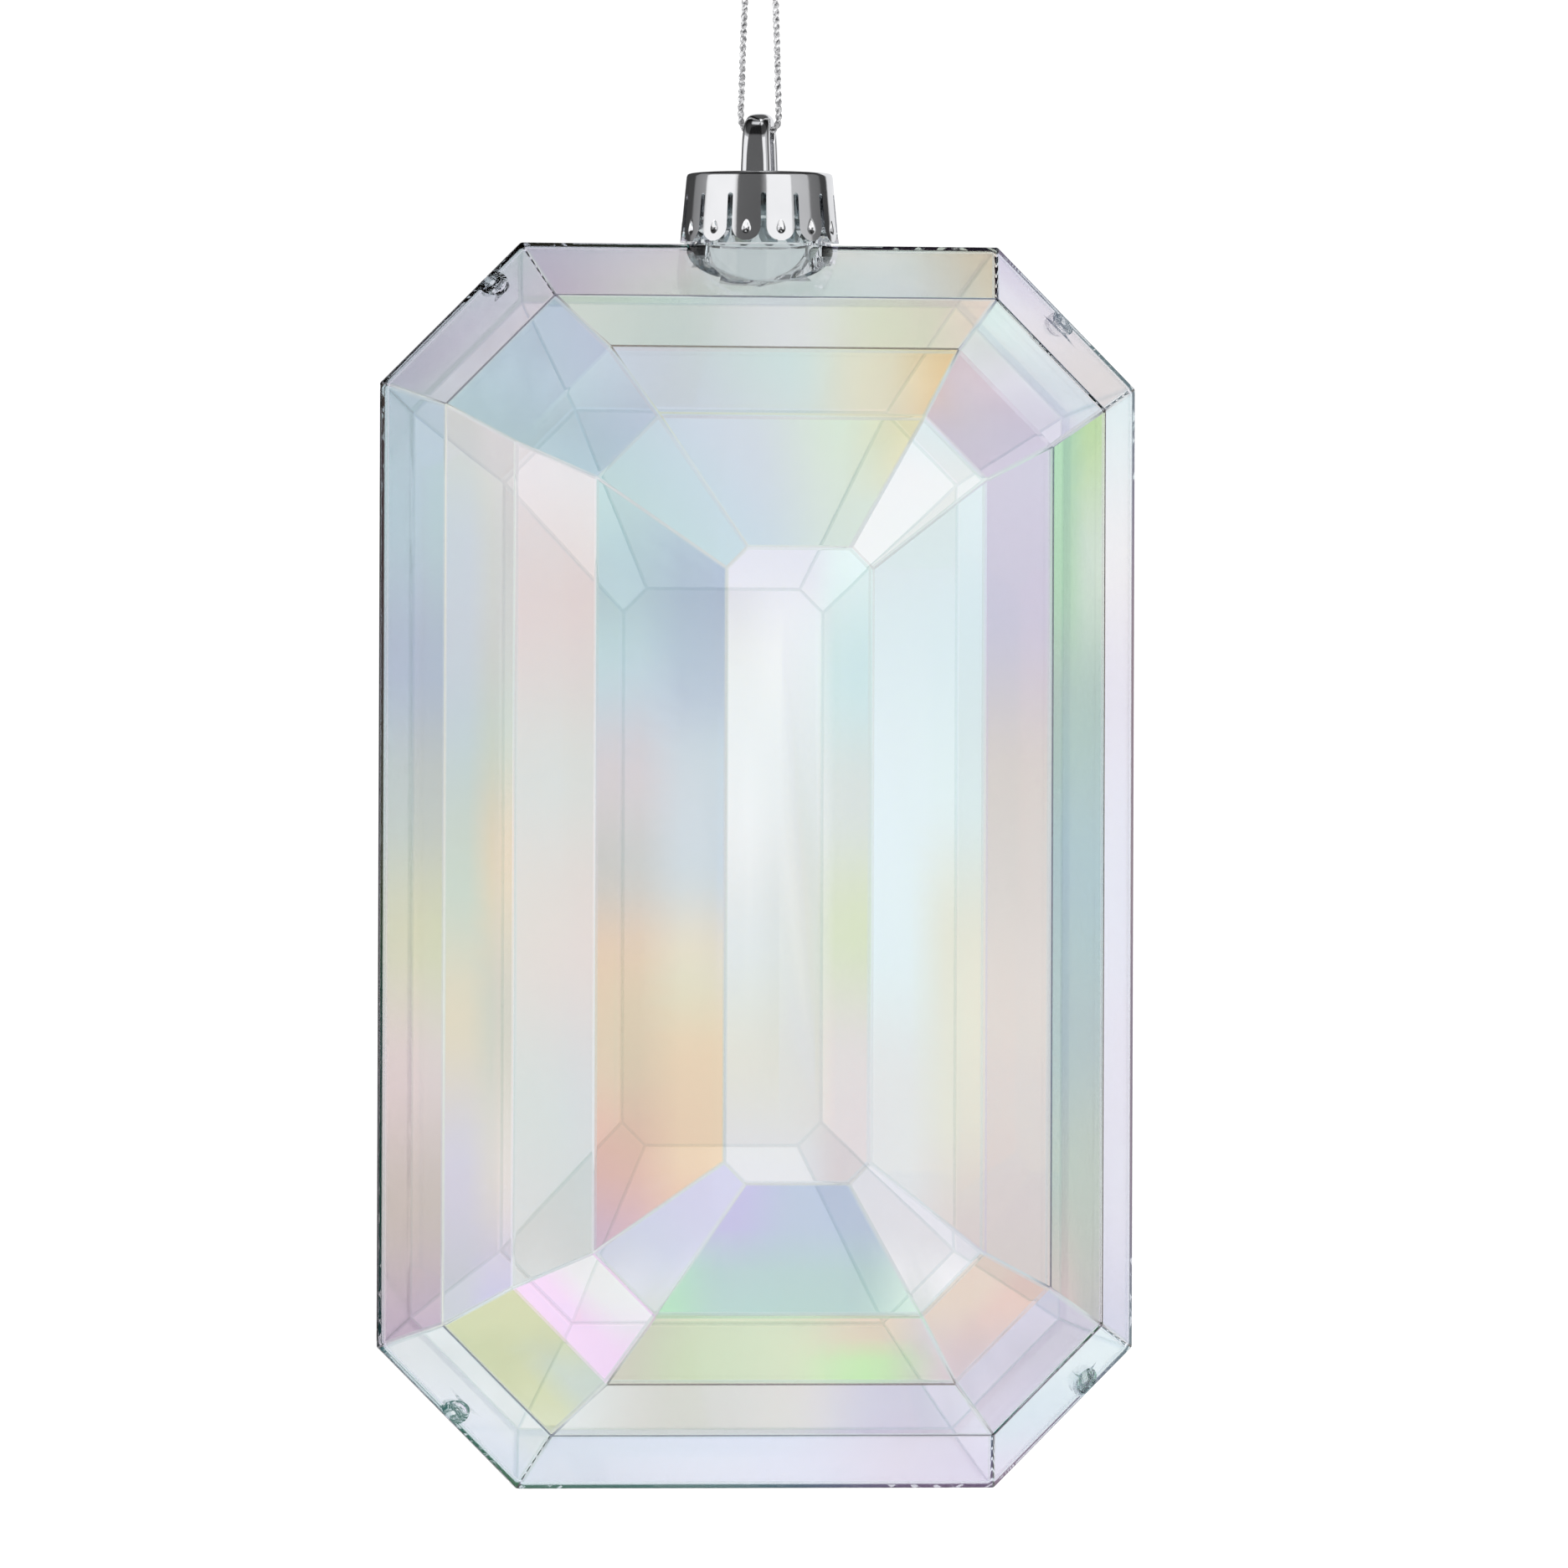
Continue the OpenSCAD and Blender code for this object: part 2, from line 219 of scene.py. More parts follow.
def ring(row, table, side_in=0.0, table_in=0.0, wall_in=0.0):
    """One facet row's outer ring: its eight (x, z) corners about the gem's centre, and its depth."""
    half_w = mix(HALF_W - side_in, table[0] - table_in, row[0])
    half_h = mix(HALF_H - side_in, table[1] - table_in, row[1])
    cut = mix(CORNER - CORNER_LOSS * side_in, table[2] - CORNER_LOSS * table_in, row[2])
    return outline(half_w, half_h, cut), mix(RIM, table[3] - wall_in, row[3])


SIDE_CELLS = [6, 16, 6, 30, 6, 16, 6, 30]
ROW_CELLS = 3


def ring_solid(rings, name, edge_round):
    """A closed solid through a stack of rings, each side a grid of cells, with its facet edges rounded."""
    bm = bmesh.new()

    def corner(index, k):
        (x, z), depth = rings[index][0][k % 8], rings[index][1]
        return Vector((x, -depth, CENTRE_Z + z))

    for r in range(len(rings) - 1):
        rows = ROW_CELLS if abs(rings[r][1] - rings[r + 1][1]) > 2 * MM else 1
        for k in range(8):
            cells = SIDE_CELLS[k]
            a, b, c, d = corner(r, k), corner(r, k + 1), corner(r + 1, k + 1), corner(r + 1, k)
            grid = [
                [bm.verts.new(a.lerp(b, i / cells).lerp(d.lerp(c, i / cells), j / rows)) for i in range(cells + 1)]
                for j in range(rows + 1)
            ]
            for j in range(rows):
                for i in range(cells):
                    bm.faces.new((grid[j][i], grid[j][i + 1], grid[j + 1][i + 1], grid[j + 1][i]))
    bmesh.ops.remove_doubles(bm, verts=bm.verts, dist=0.001 * MM)
    bmesh.ops.holes_fill(bm, edges=[e for e in bm.edges if e.is_boundary])
    bmesh.ops.recalc_face_normals(bm, faces=bm.faces)
    sharp = [e for e in bm.edges if len(e.link_faces) == 2 and e.calc_face_angle() > math.radians(2)]
    flat_y = max(v.co.y for v in bm.verts) - 0.01 * MM
    sharp = [e for e in sharp if min(v.co.y for v in e.verts) < flat_y]
    bmesh.ops.bevel(bm, geom=sharp, offset=edge_round, segments=2, profile=0.5, affect="EDGES", clamp_overlap=True)
    return new_object(name, bm)


def inner_table(table, depth):
    """More rings inside the table, so that the table has cells of its own."""
    return [
        (outline(s * table[0], table[1] - (1 - s) * table[0], s * table[2]), depth)
        for s in (0.75, 0.5, 0.25)
    ]


def gem_solids(rows, hollow_rows, table):
    outer = [ring(row, table) for row in rows]
    inner = [ring(row, table, SIDE_INSET, TABLE_INSET, WALL) for row in hollow_rows]
    outer = [(outer[0][0], 0.0)] + outer + inner_table(table, outer[-1][1])
    inner = [(inner[0][0], -1 * MM)] + inner + inner_table(table, inner[-1][1])
    return ring_solid(outer, "outside", OUTER_ROUND), ring_solid(inner, "hollow", INNER_ROUND)


def neck_profile():
    bead_z = CAP_LOW_Z + 2.7 * MM
    return [
        (0, SHOULDER_Z - SHOULDER_R), (SHOULDER_R, SHOULDER_Z - SHOULDER_R), (SHOULDER_R, SHOULDER_Z - 0.25 * MM),
        (SHOULDER_R - 0.25 * MM, SHOULDER_Z), (NECK_R, SHOULDER_Z), (NECK_R, bead_z - 0.35 * MM), (BEAD_R, bead_z),
        (NECK_R, bead_z + 0.35 * MM), (NECK_R, NECK_TOP_Z - 0.2 * MM), (NECK_R - 0.2 * MM, NECK_TOP_Z),
        (0, NECK_TOP_Z),
    ]


def bore_profile():
    low_z, high_z = SHOULDER_Z - SHOULDER_R - MM, NECK_TOP_Z + MM
    return [(0, low_z), (NECK_BORE_R, low_z), (NECK_BORE_R, high_z), (0, high_z)]


def peg_spots():
    inset = (POST_R - 0.1 * MM) / math.sqrt(2)
    for side, end, share in PEG_PLACES:
        yield side * (HALF_W - CORNER * share - inset), CENTRE_Z + end * (HALF_H - CORNER * (1 - share) - inset)


def shell_mesh(rows, hollow_rows, table, name, has_pegs):
    """One shell in front of the parting line: a faceted skin with its posts, shoulder and half a neck."""
    outside, hollow = gem_solids(rows, hollow_rows, table)
    half = block((-2 * SHOULDER_R, -2 * SHOULDER_R, SHOULDER_Z - 2 * SHOULDER_R),
                 (2 * SHOULDER_R, 0, SHOULDER_Z + 2 * SHOULDER_R), "half")
    neck = lathe(neck_profile(), NECK_SEGMENTS, "neck")
    boolean(neck, half, "INTERSECT")
    boolean(neck, hollow, "DIFFERENCE", keep_tool=True)
    posts = []
    for x, z in peg_spots():
        post = cylinder_along_y(POST_R, x, z, -9 * MM, 0, "post")
        boolean(post, outside, "INTERSECT", keep_tool=True)
        posts.append(post)
    boolean(outside, hollow, "DIFFERENCE")
    for part in posts + [neck]:
        boolean(outside, part, "UNION")
    boolean(outside, lathe(bore_profile(), NECK_SEGMENTS, "bore"), "DIFFERENCE")
    for x, z in peg_spots():
        if has_pegs:
            boolean(outside, cylinder_along_y(PEG_R, x, z, -0.5 * MM, PEG_L, "peg"), "UNION")
        else:
            socket = cylinder_along_y(PEG_R + PEG_GAP, x, z, -PEG_L - 0.5 * MM, MM, "socket")
            boolean(outside, socket, "DIFFERENCE")
    outside.data.transform(Matrix.Translation((0, -GLUE_GAP, 0)))
    outside.name = outside.data.name = name
    return outside


# ---------------------------------------------------------------- colours of the iridescent coating, with painted reflections, shade and highlights
# The share of a shade that is painted: the backdrop is brighter than 1.
TINT_LEVEL = 0.96
SHADE = {
    "white": (0.97, 0.97, 0.98), "pearl": (0.92, 0.92, 0.93), "cream": (0.93, 0.92, 0.86),
    "mist": (0.86, 0.87, 0.87), "grey": (0.79, 0.79, 0.84), "blush": (0.90, 0.86, 0.85),
    "beige": (0.84, 0.80, 0.76), "sky": (0.77, 0.84, 0.89), "dusk": (0.74, 0.79, 0.87), "ice": (0.83, 0.91, 0.93),
    "mint": (0.86, 0.95, 0.90), "sage": (0.80, 0.84, 0.82), "teal": (0.73, 0.82, 0.81), "straw": (0.86, 0.88, 0.76),
    "lime": (0.80, 0.95, 0.70), "green": (0.73, 0.91, 0.77), "olive": (0.83, 0.84, 0.68),
    "lemon": (0.93, 0.93, 0.78), "peach": (0.91, 0.83, 0.75), "apricot": (0.95, 0.82, 0.64),
    "coral": (0.92, 0.78, 0.73), "rose": (0.87, 0.79, 0.84), "pink": (0.97, 0.78, 0.97),
    "mauve": (0.80, 0.73, 0.81), "violet": (0.82, 0.73, 0.90), "iris": (0.78, 0.76, 0.91),
    "lilac": (0.85, 0.82, 0.90), "lavender": (0.84, 0.84, 0.93), "slate": (0.26, 0.27, 0.36),
    "brown": (0.33, 0.27, 0.25), "plum": (0.42, 0.32, 0.46), "glow": (0.99, 0.88, 0.78),
    "silver": (0.84, 0.87, 0.88), "frost": (0.92, 0.98, 0.99), "steel": (0.73, 0.80, 0.83),
    "petal": (1.0, 0.86, 1.0), "haze": (0.90, 0.90, 0.96),
}
SIDES = ["upper_right", "top", "upper_left", "left", "lower_left", "bottom", "lower_right", "right"]

# Each facet's colours along it: from the top down, or from left to right.
# Two lists are its outer and inner parts.
# The front's colours are the coating's own mixed with painted reflections of the softboxes and room; the brightest
# white, pink and warm facets are painted highlights.
FRONT_COAT_AND_REFLECTIONS = [
    {
        "left": ["sky", "sky", "dusk", "sage", "straw", "blush", "beige", "mauve"],
        "right": ["frost", "white", "haze", "haze", "haze", "haze", "lavender"],
        "top": ["grey", "silver", "silver", "pearl", "peach"], "bottom": ["haze", "haze", "haze", "haze"],
        "upper_left": [["silver", "grey"], ["silver", "silver"]],
        "upper_right": [["lilac", "blush"], ["haze", "blush"]],
        "lower_left": [["pearl", "haze"], ["pearl", "pearl"]], "lower_right": ["frost", "ice", "haze"],
    },
    {
        "left": [
            ["sage", "sky", "sky", "sage", "peach", "lilac", "grey"],
            ["mist", "sage", "sage", "peach", "beige", "blush", "iris"],
        ],
        "right": [
            ["lime", "mint", "teal", "steel", "steel", "sage", "sage"],
            ["green", "green", "teal", "steel", "steel", "sage", "blush"],
        ],
        "top": ["sage", "sage", "mist", "straw", "peach"], "bottom": ["pearl", "blush", "blush", "lilac", "haze"],
        "upper_left": ["sky", "sky"], "upper_right": [["frost", "frost"], ["pearl", "haze"]],
        "lower_left": [["olive", "olive", "straw"], ["olive", "sage", "sage"]],
        "lower_right": ["lilac", "lilac", "lilac"],
    },
    {
        "left": ["pearl", "blush", "mist", "blush", "mist", "mist"],
        "right": ["lilac", "lilac", "blush", "blush", "blush", "blush"],
        "top": ["ice", "ice", "ice", "cream", "apricot"],
        "bottom": [["beige", "straw", "straw", "lime", "rose"], ["beige", "straw", "straw", "peach", "lilac"]],
        "upper_left": ["ice", "sky"], "upper_right": [["rose", "lilac"], ["coral", "lilac"]],
        "lower_left": [["petal", "petal"], ["white", "petal"]], "lower_right": [["coral", "rose"], ["peach", "rose"]],
    },
    {
        "left": [
            ["ice", "sky", "ice", "mist", "sage", "peach", "peach", "coral", "rose"],
            ["ice", "dusk", "sky", "ice", "ice", "cream", "glow", "glow", "coral"],
        ],
        "right": [
            ["frost", "frost", "frost", "cream", "cream", "blush"],
            ["frost", "frost", "frost", "frost", "pearl", "pearl"],
        ],
        "top": [["ice", "ice", "mint", "lemon"], ["ice", "ice", "mint", "mint"]],
        "bottom": [["green", "teal", "teal", "teal", "mint"], ["iris", "iris", "dusk", "dusk", "lavender"]],
        "upper_left": ["ice", "ice"], "upper_right": ["frost", "white"],
        "lower_left": ["lavender", "haze", "mist"], "lower_right": ["pearl", "white", "mist"],
    },
]
# The front table's colours are also partly a painted reflection of the right softbox.
FRONT_TABLE_COAT_AND_REFLECTIONS = [
    ["haze", "white", "white", "pearl", "cream", "pearl"],
    ["frost", "ice", "mist", "straw", "blush", "blush"],
]
BACK_TINTS = [
    {side: ["pearl", "white", "pearl"] for side in SIDES},
    {side: ["white", "pearl", "white", "pearl"] for side in SIDES},
    {side: ["pearl", "white", "white"] for side in SIDES},
]
BACK_TABLE_TINT = [["pearl", "white", "pearl"], ["white", "pearl", "pearl"]]

# Painted shade and painted highlights on the rounded edges, as dark and light lines: one list per ring, by side.
FRONT_LINES = [
    {"top": "lilac", "upper_left": "lilac", "left": "mauve", "lower_left": "violet", "bottom": "ice",
     "lower_right": "sky", "right": "haze", "upper_right": "lilac"},
    {"top": "slate", "upper_left": "slate", "left": "cream", "lower_left": "slate", "bottom": "slate",
     "lower_right": "plum", "right": "brown", "upper_right": "slate"},
    {"top": "brown", "upper_left": "mist", "left": "white", "lower_left": "sage", "bottom": "brown",
     "lower_right": "mauve", "right": "slate", "upper_right": "lilac"},
    {"top": "straw", "upper_left": "sky", "left": "white", "lower_left": "pink", "bottom": "green",
     "lower_right": "mist", "right": "lilac", "upper_right": "pearl"},
    {side: "mist" for side in SIDES},
]
BACK_LINES = [
    {side: "lilac" for side in SIDES}, {side: "haze" for side in SIDES}, {side: "white" for side in SIDES},
    {side: "pearl" for side in SIDES},
]


def linear(shade):
    return [c / 12.92 if c <= 0.04045 else ((c + 0.055) / 1.055) ** 2.4 for c in shade]


def painted(shade):
    """A shade as linear light, at the level it is painted."""
    return [min(c * TINT_LEVEL, 1.0) for c in linear(shade)]


def blend(a, b, part):
    return [mix(x, y, part) for x, y in zip(a, b)]


def smooth_step(low, high, value):
    part = min(max((value - low) / (high - low), 0.0), 1.0)
    return part * part * (3 - 2 * part)


def along(names, share):
    """The colour at a share of the way along a list of named shades."""
    place = min(max(share, 0.0), 1.0) * (len(names) - 1)
    first = min(int(place), len(names) - 2)
    return blend(SHADE[names[first]], SHADE[names[first + 1]], smooth_step(0, 1, place - first))


def facet_planes(rows, table, side_in, table_in, wall_in):
    """Each facet's (row, side, corner, normal), the table last, and the rings they lie between."""
    rings = [ring(row, table, side_in, table_in, wall_in) for row in rows]
    found = []
    for r in range(len(rings) - 1):
        for k in range(8):
            (ax, az), (bx, bz) = rings[r][0][k], rings[r][0][(k + 1) % 8]
            (dx, dz) = rings[r + 1][0][k]
            a, b = Vector((ax, -rings[r][1], az)), Vector((bx, -rings[r][1], bz))
            d = Vector((dx, -rings[r + 1][1], dz))
            normal = (b - a).cross(d - a).normalized()
            if normal.y > 0:
                normal.negate()
            found.append((r, SIDES[k], a, normal))
    found.append((len(rings) - 1, "table", Vector((0, -rings[-1][1], 0)), Vector((0, -1, 0))))
    return found, rings


def facet_share(side, point, rings, row):
    """How far a point is along its facet, from the top or the left."""
    corners = rings[row][0]
    k = SIDES.index(side)
    (ax, az), (bx, bz) = corners[k], corners[(k + 1) % 8]
    if side in ("top", "bottom"):
        return (point.x - min(ax, bx)) / abs(bx - ax)
    return (max(az, bz) - point.z) / abs(bz - az)


def paint(obj, rows, hollow_rows, table, tints, table_tint, lines):
    """Gives each corner its facet's colour with painted reflections, or its rounded edge's painted shade line or
    highlight line, and marks the coated outside by alpha.
    """
    outer_planes, outer_rings = facet_planes(rows, table, 0, 0, 0)
    inner_planes, inner_rings = facet_planes(hollow_rows, table, SIDE_INSET, TABLE_INSET, WALL)
    mesh = obj.data
    layer = mesh.color_attributes.new("tint", "FLOAT_COLOR", "CORNER")
    for face in mesh.polygons:
        middle = face.center - Vector((0, -GLUE_GAP, CENTRE_Z))
        found, coated = None, 0.0
        for planes, rings, flip in ((outer_planes, outer_rings, 1), (inner_planes, inner_rings, -1)):
            for row, side, corner, normal in planes:
                if flip * face.normal.dot(normal) > 0.9995 and abs((middle - corner).dot(normal)) < 0.02 * MM:
                    found, coated = (row, side, rings), float(flip > 0)
                    break
            if found:
                break
        for index in face.loop_indices:
            point = mesh.vertices[mesh.loops[index].vertex_index].co - Vector((0, -GLUE_GAP, CENTRE_Z))
            shade = tint_at(point, found, tints, table_tint) if found else edge_shade_and_highlight(point, lines, outer_rings)
            layer.data[index].color = (*painted(shade), coated)


def tint_at(point, found, tints, table_tint):
    row, side, rings = found
    if side == "table":
        half_w, half_h = rings[-1][0][0][0], rings[-1][0][1][1]
        down, across = (half_h - point.z) / (2 * half_h), (point.x + half_w) / (2 * half_w)
        return blend(along(table_tint[0], down), along(table_tint[1], down), smooth_step(0.55, 0.8, across))
    names = tints[row][side]
    share = facet_share(side, point, rings, row)
    if isinstance(names[0], str):
        return along(names, share)
    depth0, depth1 = rings[row][1], rings[row + 1][1]
    inward = (-point.y - depth0) / (depth1 - depth0)
    return blend(along(names[0], share), along(names[1], share), smooth_step(0.25, 0.75, inward))


def edge_shade_and_highlight(point, lines, rings):
    """The painted shade line or highlight line of the nearest ring edge, or a pale grey on rounded edges away from
    them all.
    """
    best, colour = 0.6 * MM, SHADE["silver"]
    for index, (corners, depth) in enumerate(rings):
        for k, side in enumerate(SIDES):
            (ax, az), (bx, bz) = corners[k], corners[(k + 1) % 8]
            a, b = Vector((ax, -depth, az)), Vector((bx, -depth, bz))
            share = min(max((point - a).dot(b - a) / (b - a).length_squared, 0), 1)
            far = (point - a.lerp(b, share)).length
            if far < best:
                best, colour = far, SHADE[lines[index][side]]
    return colour


# ---------------------------------------------------------------- materials
def node_material(name):
    material = bpy.data.materials.new(name)
    material.use_nodes = True
    nodes, links = material.node_tree.nodes, material.node_tree.links
    return material, nodes, links, nodes["Principled BSDF"]


def noise_node(nodes, links, scale, detail):
    place = nodes.new("ShaderNodeTexCoord")
    texture = nodes.new("ShaderNodeTexNoise")
    texture.inputs["Scale"].default_value = scale
    texture.inputs["Detail"].default_value = detail
    links.new(place.outputs["Object"], texture.inputs["Vector"])
    return texture


def ranged(nodes, links, source, low, high, from_low=0.0, from_high=1.0):
    ramp = nodes.new("ShaderNodeMapRange")
    for socket, value in (("From Min", from_low), ("From Max", from_high), ("To Min", low), ("To Max", high)):
        ramp.inputs[socket].default_value = value
    links.new(source, ramp.inputs["Value"])
    return ramp.outputs["Result"]


def bump_chain(nodes, links, bsdf, layers):
    """Adds bumps, each (noise scale, height in metres), one after another."""
    normal = None
    for scale, height in layers:
        texture = noise_node(nodes, links, scale, 3)
        bump = nodes.new("ShaderNodeBump")
        bump.inputs["Distance"].default_value = height
        bump.inputs["Strength"].default_value = 1
        links.new(texture.outputs["Fac"], bump.inputs["Height"])
        if normal:
            links.new(normal, bump.inputs["Normal"])
        normal = bump.outputs["Normal"]
    links.new(normal, bsdf.inputs["Normal"])


def iridescent_plastic(name, film_low, film_high):
    material, nodes, links, bsdf = node_material(name)
    # Base colour from the painted tints: the coating's colours with painted reflections on the facets, and painted
    # shade and highlight lines on the edges.
    tint = nodes.new("ShaderNodeVertexColor")
    tint.layer_name = "tint"
    cloud = noise_node(nodes, links, 22, 2)
    rainbow = nodes.new("ShaderNodeValToRGB")
    stops = rainbow.color_ramp.elements
    stops[0].position, stops[0].color = 0.3, (*linear(SHADE["sky"]), 1)
    stops[1].position, stops[1].color = 0.7, (*linear(SHADE["rose"]), 1)
    for place, shade in ((0.4, "mint"), (0.5, "cream"), (0.6, "peach")):
        stops.new(place).color = (*linear(SHADE[shade]), 1)
    links.new(cloud.outputs["Fac"], rainbow.inputs["Fac"])
    mixed = nodes.new("ShaderNodeMix")
    mixed.data_type = "RGBA"
    mixed.inputs["Factor"].default_value = 0.08
    links.new(tint.outputs["Color"], mixed.inputs["A"])
    links.new(rainbow.outputs["Color"], mixed.inputs["B"])
    links.new(mixed.outputs["Result"], bsdf.inputs["Base Color"])
    fine = noise_node(nodes, links, 900, 3)
    links.new(ranged(nodes, links, fine.outputs["Fac"], 0.0, 0.03), bsdf.inputs["Roughness"])
    film = noise_node(nodes, links, 14, 1)
    coat = nodes.new("ShaderNodeMath")
    coat.operation = "MULTIPLY"
    links.new(ranged(nodes, links, film.outputs["Fac"], film_low, film_high, 0.3, 0.7), coat.inputs[0])
    links.new(tint.outputs["Alpha"], coat.inputs[1])
    links.new(coat.outputs["Value"], bsdf.inputs["Thin Film Thickness"])
    bsdf.inputs["Thin Film IOR"].default_value = 1.75
    bsdf.inputs["IOR"].default_value = 1.5
    bsdf.inputs["Transmission Weight"].default_value = 1
    bump_chain(nodes, links, bsdf, [(45, 0.012 * MM), (700, 0.001 * MM)])
    return material


def metallised_plastic():
    material, nodes, links, bsdf = node_material("metallised_plastic")
    streak = noise_node(nodes, links, 160, 4)
    shade = nodes.new("ShaderNodeValToRGB")
    shade.color_ramp.elements[0].color = (0.74, 0.745, 0.76, 1)
    shade.color_ramp.elements[1].color = (0.9, 0.9, 0.91, 1)
    links.new(streak.outputs["Fac"], shade.inputs["Fac"])
    links.new(shade.outputs["Color"], bsdf.inputs["Base Color"])
    bsdf.inputs["Metallic"].default_value = 1
    links.new(ranged(nodes, links, streak.outputs["Fac"], 0.04, 0.13), bsdf.inputs["Roughness"])
    bump_chain(nodes, links, bsdf, [(350, 0.01 * MM)])
    return material


def silver_thread():
    material, nodes, links, bsdf = node_material("silver_thread")
    # Painted glints: the thread's colour runs from dark to bright in fine spots, and its roughness changes with them.
    glint = noise_node(nodes, links, 2500, 2)
    shade = nodes.new("ShaderNodeValToRGB")
    shade.color_ramp.elements[0].position, shade.color_ramp.elements[0].color = 0.38, (0.3, 0.3, 0.31, 1)
    shade.color_ramp.elements[1].position, shade.color_ramp.elements[1].color = 0.6, (0.97, 0.97, 0.98, 1)
    links.new(glint.outputs["Fac"], shade.inputs["Fac"])
    links.new(shade.outputs["Color"], bsdf.inputs["Base Color"])
    bsdf.inputs["Metallic"].default_value = 0.6
    links.new(ranged(nodes, links, glint.outputs["Fac"], 0.18, 0.4), bsdf.inputs["Roughness"])
    bump_chain(nodes, links, bsdf, [(4000, 0.02 * MM)])
    return material


# ---------------------------------------------------------------- cap
def cap_outer_r(z):
    return mix(TIP_R, CAP_TOP_R, (z - CAP_LOW_Z) / CAP_H)


def cap_inner_r(z):
    flare_top = CAP_TOP_Z - CAP_TOP_T - CAP_BORE_H
    return mix(TIP_BORE_R, CAP_BORE_R, min(max((z - CAP_LOW_Z) / (flare_top - CAP_LOW_Z), 0), 1))


def dent_depth(across, z):
    """How far the teardrop dent pushes a petal in, at a distance across from its middle line."""
    up = (z - CAP_LOW_Z - 1.45 * MM) / MM
    width = 0.62 * (1 - 0.4 * up) if up > 0 else 0.62
    reach = math.hypot(across / MM / max(width, 0.1), up / (1.3 if up > 0 else 0.65))
    return 0.4 * MM * (1 - smooth_step(0, 1, reach))


def petal_half_width(z, pitch):
    """Half the width of a petal at a height: round at its tip, slotted above, whole at the top."""
    up = z - CAP_LOW_Z
    tip = pitch - SLOT_HALF
    if up < tip:
        return math.sqrt(max(tip * tip - (tip - up) ** 2, (0.22 * tip) ** 2))
    round_from = SLOT_H - SLOT_HALF
    if up < round_from:
        return tip
    if up < SLOT_H:
        return pitch - math.sqrt(max(SLOT_HALF ** 2 - (up - round_from) ** 2, 0))
    return pitch


def cap_heights():
    tip = [0.75 * (1 - math.cos(math.radians(a))) for a in range(0, 91, 15)]
    dent = [0.85 + 0.12 * k for k in range(18)]
    rest = [3.2, 3.8, 4.4, 5.0, 5.45, 5.55, 5.65, 5.72, 5.77, 5.8, 6.4, 7.2, 7.9]
    return [CAP_LOW_Z + up * MM for up in tip + dent + rest]


def cap_skirt():
    """The skirt's petals, each a grid with an outer and an inner face, joined above their slots."""
    bm = bmesh.new()
    columns = 28
    half_pitch = math.pi / PETALS
    heights = cap_heights()
    for petal in range(PETALS):
        middle = 2 * half_pitch * petal - math.pi / 2
        layers = []
        for inner in (False, True):
            grid = []
            for z in heights:
                outer_r = cap_outer_r(z)
                half = petal_half_width(z, TIP_R * math.sin(half_pitch)) / (TIP_R * math.sin(half_pitch)) * half_pitch
                row = []
                for c in range(columns + 1):
                    angle = middle + half * (2 * c / columns - 1)
                    dent = dent_depth(outer_r * half * (2 * c / columns - 1), z)
                    radius = cap_inner_r(z) - 0.8 * dent if inner else outer_r - dent
                    row.append(bm.verts.new((radius * math.cos(angle), radius * math.sin(angle), z)))
                grid.append(row)
            layers.append(grid)
        outer, inner = layers
        for j in range(len(heights) - 1):
            for c in range(columns):
                for grid in layers:
                    bm.faces.new((grid[j][c], grid[j][c + 1], grid[j + 1][c + 1], grid[j + 1][c]))
            if heights[j] < CAP_LOW_Z + SLOT_H - 0.001 * MM:
                for c in (0, columns):
                    bm.faces.new((outer[j][c], outer[j + 1][c], inner[j + 1][c], inner[j][c]))
        for c in range(columns):
            bm.faces.new((outer[0][c], outer[0][c + 1], inner[0][c + 1], inner[0][c]))
    bmesh.ops.remove_doubles(bm, verts=bm.verts, dist=0.002 * MM)
    top = max(heights)
    add_cap_top(bm, [v for v in bm.verts if abs(v.co.z - top) < 0.001 * MM], top)
    return bm


def add_cap_top(bm, rim, z):
    """Closes the skirt with the cap's flat top, its rounded edge outside and its underside inside."""
    split = (cap_outer_r(z) + cap_inner_r(z)) / 2
    outer = sorted((v for v in rim if v.co.xy.length > split), key=lambda v: math.atan2(v.co.y, v.co.x))
    inner = sorted((v for v in rim if v.co.xy.length < split), key=lambda v: math.atan2(v.co.y, v.co.x))
    top_profile = [
        (cap_outer_r(z) - 0.08 * MM, CAP_TOP_Z - 0.18 * MM), (CAP_TOP_R - 0.22 * MM, CAP_TOP_Z - 0.03 * MM),
        (CAP_TOP_R - 0.4 * MM, CAP_TOP_Z), (CAP_TOP_R - 0.9 * MM, CAP_TOP_Z),
        (CAP_TOP_R - 1.1 * MM, CAP_TOP_Z - 0.12 * MM), (4.5 * MM, CAP_TOP_Z - 0.12 * MM),
    ]
    under_profile = [(CAP_BORE_R, z - 0.2 * MM), (CAP_BORE_R - 0.3 * MM, CAP_TOP_Z - CAP_TOP_T)]
    for start, profile in ((outer, top_profile), (inner, under_profile)):
        previous = start
        for radius, height in profile:
            row = []
            for v in start:
                flat = v.co.xy.normalized() * radius
                row.append(bm.verts.new((flat.x, flat.y, height)))
            for k in range(len(row)):
                n = (k + 1) % len(row)
                bm.faces.new((previous[k], previous[n], row[n], row[k]))
            previous = row
        bm.faces.new(previous)


